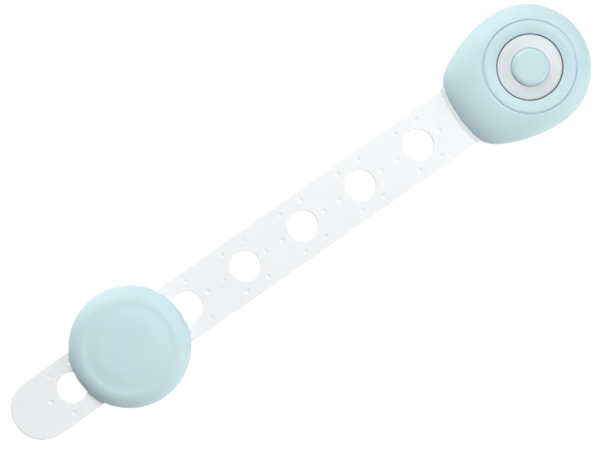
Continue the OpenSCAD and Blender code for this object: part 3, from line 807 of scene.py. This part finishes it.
def makeAnchorBase(s):
    small, rounded = edges["small"], edges["round"]
    line = soften([(0, s["low"]), (s["disc"], s["low"], small), (s["disc"], s["high"], rounded),
                   (s["post"], s["high"], small), (s["post"], s["postHigh"], rounded),
                   (s["socket"], s["postHigh"], rounded), (s["socket"], s["socketLow"], small),
                   (0, s["socketLow"])])
    base = turnProfile("anchorBase", line, s["turnSteps"])
    ribs = [block("rib", (-s["ribHalf"], side, s["ribLow"]),
                  (s["ribHalf"], side + s["ribThick"], s["ribHigh"]), edges["soft"])
            for side in (s["ribIn"], -s["ribIn"] - s["ribThick"])]
    cutWith(base, joinInto(ribs[0], ribs[1:]), "UNION")
    shift(base, anchorX)
    dress(smooth(base, "moulded"), "white", "anchor_base", "anchor_base")


makeAnchorCap(capShape)
makeAnchorBase(baseShape)
print("anchor pad ready")


# foam pads
foamShape = {"thick": 0.8, "inset": 3.4, "discRadius": 14.0, "edge": 0.22, "rimBand": 0.05, "sides": 144}


def makeFoamPad(name, s, radiusOf, x):
    # a cut pad: its two faces are flat and its cut edge is rounded
    clearSelection()
    bpy.ops.mesh.primitive_circle_add(vertices=s["sides"], radius=mm, fill_type="NGON")
    pad = nameNew(name)
    for v in pad.data.vertices:
        angle = math.atan2(v.co.y, v.co.x)
        v.co = Vector((math.cos(angle), math.sin(angle), 0)) * radiusOf(angle) * mm
    editAll(pad)
    bpy.ops.mesh.inset(thickness=s["edge"] * 2 * mm)
    bpy.ops.mesh.select_all(action="SELECT")
    bpy.ops.mesh.extrude_region_move(TRANSFORM_OT_translate={"value": (0, 0, s["thick"] * mm)})
    doneEditing()
    weld(pad)
    selectEdges(pad, lambda a, b: abs(a.z - b.z) < near and min(
        math.hypot(p.x, p.y) - radiusOf(math.atan2(p.y, p.x)) for p in (a, b)) > -s["rimBand"])
    roundSelected(s["edge"], edgeSegments["rolled"])
    shift(pad, x)
    return smooth(pad, "soft")


headFoam = makeFoamPad("headFoam", foamShape, lambda a: headEdge(a) - foamShape["inset"], 0)
anchorFoam = makeFoamPad("anchorFoam", foamShape, lambda a: foamShape["discRadius"], anchorX)
for pad, body, node in ((headFoam, "head", "head_adhesive"), (anchorFoam, "anchor_base", "anchor_adhesive")):
    dress(pad, "foam", body, node)
print("foam pads ready")


# springs, wound with a screw; low and high are the middle of the wire at its two ends.
# The button goes down with the ring and by itself, so its spring is two halves, one held by the head and one
# by the ring.
springShape = {
    "wireSides": 10, "steps": 40, "travel": 1.5,
    "parts": (
        {"name": "ringSpring", "body": "head", "joint": "ring_press", "nodes": ("ring_spring",),
         "start": 7.225, "wire": 0.6, "low": 6.55, "high": 10.15, "turns": 3},
        {"name": "buttonSpring", "body": "head", "joint": "ring_press", "nodes": ("button_spring",),
         "start": 2.65, "wire": 0.5, "low": 6.5, "high": 9.45, "turns": 1.5},
        {"name": "buttonSpringTop", "body": "ring", "joint": "button_press", "nodes": (),
         "start": -2.65, "wire": 0.5, "low": 9.45, "high": 12.4, "turns": 1.5},
    ),
}


def makeSpring(s, one):
    clearSelection()
    start = (one["start"] * mm, 0, one["low"] * mm)
    bpy.ops.mesh.primitive_circle_add(vertices=s["wireSides"], radius=one["wire"] / 2 * mm,
                                      location=start, rotation=(math.pi / 2, 0, 0))
    spring = nameNew(one["name"])
    bpy.ops.object.transform_apply(location=True, rotation=True, scale=True)
    steps, rise = round(s["steps"] * one["turns"]), one["high"] - one["low"]
    applyModifier(spring, "SCREW", angle=fullTurn * one["turns"], screw_offset=rise * mm, iterations=1,
                  steps=steps, render_steps=steps, use_merge_vertices=False)
    editAll(spring)
    bpy.ops.mesh.remove_doubles(threshold=weldGap)
    selectOpenEdges()
    bpy.ops.mesh.fill_holes(sides=0)
    bpy.ops.mesh.select_all(action="SELECT")
    bpy.ops.mesh.normals_make_consistent(inside=False)
    doneEditing()
    return smooth(spring, "soft", weighted=False)


for one in springShape["parts"]:
    spring = dress(makeSpring(springShape, one), "wire", one["body"], *one["nodes"])
    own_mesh(spring)
print("springs ready")


# base, deck, lip, tongue and latch take their solids' shapes, with broken edges; the lip is also drawn down
deckShape = {"edge": 0.06}
latchShape = {"edge": 0.08, "anchor": 2.4, "keep": 0.3}
lipShape = {"edge": 0.05, "middle": 5.48, "topDrop": 0.35, "frontDrop": 0.1}


def closeLip(piece):
    # a thin plate that comes down close to the strap, lowest along its front
    s, centre = lipShape, head["frontRadius"] - head["front"]

    def isTop(a, b):
        return min(a.z, b.z) > s["middle"]

    def isFront(a, b):
        return abs(a.z - b.z) < s["edge"] and head["frontRadius"] < min(
            math.hypot(a.x - centre, a.y), math.hypot(b.x - centre, b.y))

    for wanted, drop in ((isTop, s["topDrop"]), (isFront, s["frontDrop"])):
        selectEdges(piece, wanted)
        bpy.ops.transform.translate(value=(0, 0, -drop * mm))
        doneEditing()


softPieces = (
    ("head_base", "headBase", "white", "head", edges["hair"], None),
    ("spring_deck", "springDeck", "natural", "head", deckShape["edge"], None),
    # the lip wears the white plastic's paler copy, which is painted light
    ("mouth_lip", "mouthLip", "lip", "head", lipShape["edge"], closeLip),
    ("strap_tongue", "strapTongue", "natural", "strap", edges["hair"], None),
    ("latch_finger", "latchFinger", "natural", "head", latchShape["edge"], None),
)
made = {}
for node, name, look, body, edge, change in softPieces:
    made[node] = dress(softCopy(node, name, edge, change), look, body, node)
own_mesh(made["latch_finger"])
for node in ("cover_screws", "latch_rivets", "tongue_rivets"):
    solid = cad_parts[node]
    solid.data.materials.clear()
    solid.data.materials.append(finish["plated"])
print("inner pieces ready")


# floor, light and camera
studio = {
    "floorSize": 6.0, "floorLevel": -0.00005, "floorGlow": 0.93, "floorColour": (0.80, 0.81, 0.815, 1),
    "floorDim": (0.16, 0.16, 0.16, 1), "white": (1, 1, 1, 1),
    "worldLight": 0.01, "lampDistance": 0.9, "lampCentre": -125.0,
    "lamps": (
        {"name": "leftLamp", "turn": 86, "rise": 34, "size": 0.60, "power": 5.65},
        {"name": "backLamp", "turn": 65, "rise": 20, "size": 0.60, "power": 1.25},
        {"name": "rightLamp", "turn": -55, "rise": 20, "size": 0.60, "power": 4.40},
        {"name": "frontLamp", "turn": -95, "rise": 22, "size": 0.60, "power": 2.08},
        {"name": "topLamp", "turn": 25, "rise": 70, "size": 0.60, "power": 3.14},
    ),
}
lens = {
    "aim": (-79.90, -0.35), "level": 5.2, "distance": 780.0, "length": 165.94, "turn": -35.03,
    "leanX": -1.14, "leanY": -0.79, "clip": 10.0,
}


def seenDirectly(tree, lit, shown):
    # the camera, gloss and glass see one shader, and the light that bounces sees the other
    path = addNode(tree, "ShaderNodeLightPath")
    either = addNode(tree, "ShaderNodeMath", {
        0: path.outputs["Is Camera Ray"], 1: path.outputs["Is Glossy Ray"]}, operation="MAXIMUM")
    anyOf = addNode(tree, "ShaderNodeMath", {
        0: either.outputs[0], 1: path.outputs["Is Transmission Ray"]}, operation="MAXIMUM")
    mix = addNode(tree, "ShaderNodeMixShader", {0: anyOf.outputs[0], 1: lit.outputs[0], 2: shown.outputs[0]})
    return mix.outputs[0]


def makeFloor(s):
    clearSelection()
    bpy.ops.mesh.primitive_plane_add(size=s["floorSize"], location=(0, 0, s["floorLevel"]))
    floor = bpy.context.object
    floor.name = "studioFloor"
    bpy.ops.object.transform_apply(location=True, rotation=True, scale=True)
    material = bpy.data.materials.new("studioFloor")
    material.use_nodes = True
    tree = material.node_tree
    tree.nodes.clear()
    card = addNode(tree, "ShaderNodeBsdfDiffuse", {"Color": s["floorColour"]})
    dim = addNode(tree, "ShaderNodeBsdfDiffuse", {"Color": s["floorDim"]})
    glow = addNode(tree, "ShaderNodeEmission", {"Strength": s["floorGlow"]})
    seen = addNode(tree, "ShaderNodeAddShader", {0: dim.outputs[0], 1: glow.outputs[0]})
    # from underneath the floor is clear, so that the back of the part can be looked at
    under = addNode(tree, "ShaderNodeNewGeometry").outputs["Backfacing"]
    clear = addNode(tree, "ShaderNodeBsdfTransparent")
    whole = addNode(tree, "ShaderNodeMixShader", {
        0: under, 1: seenDirectly(tree, card, seen), 2: clear.outputs[0]})
    addNode(tree, "ShaderNodeOutputMaterial", {"Surface": whole.outputs[0]})
    floor.data.materials.append(material)


def makeWorld(s):
    world = bpy.data.worlds.new("studioWorld")
    bpy.context.scene.world = world
    world.use_nodes = True
    tree = world.node_tree
    tree.nodes.clear()
    soft = addNode(tree, "ShaderNodeBackground", {"Color": s["white"], "Strength": s["worldLight"]})
    plain = addNode(tree, "ShaderNodeBackground", {"Color": s["white"], "Strength": 1.0})
    addNode(tree, "ShaderNodeOutputWorld", {"Surface": seenDirectly(tree, soft, plain)})


def makeLamp(s, one):
    # turn is counted from X, which runs along the strap, and rise from the floor
    centre = Vector((s["lampCentre"] * mm, 0, 0))
    turn, rise = math.radians(one["turn"]), math.radians(one["rise"])
    place = centre + s["lampDistance"] * Vector((
        math.cos(turn) * math.cos(rise), math.sin(turn) * math.cos(rise), math.sin(rise)))
    clearSelection()
    bpy.ops.object.light_add(type="AREA", location=place)
    lamp = bpy.context.object
    lamp.name = one["name"]
    lamp.data.shape = "DISK"
    lamp.data.size = one["size"]
    lamp.data.energy = one["power"]
    lamp.rotation_euler = (centre - place).to_track_quat("-Z", "Y").to_euler()


makeFloor(studio)
makeWorld(studio)
for one in studio["lamps"]:
    makeLamp(studio, one)

clearSelection()
bpy.ops.object.camera_add(
    location=(lens["aim"][0] * mm, lens["aim"][1] * mm, lens["level"] * mm),
    rotation=[math.radians(lens[key]) for key in ("leanX", "leanY", "turn")])
camera = bpy.context.object
camera.location += camera.rotation_euler.to_matrix() @ Vector((0, 0, lens["distance"] * mm))
camera.data.lens = lens["length"]
camera.data.clip_start = lens["clip"] * mm
bpy.context.scene.camera = camera
bpy.context.scene.view_settings.view_transform = "Standard"
print("studio ready")
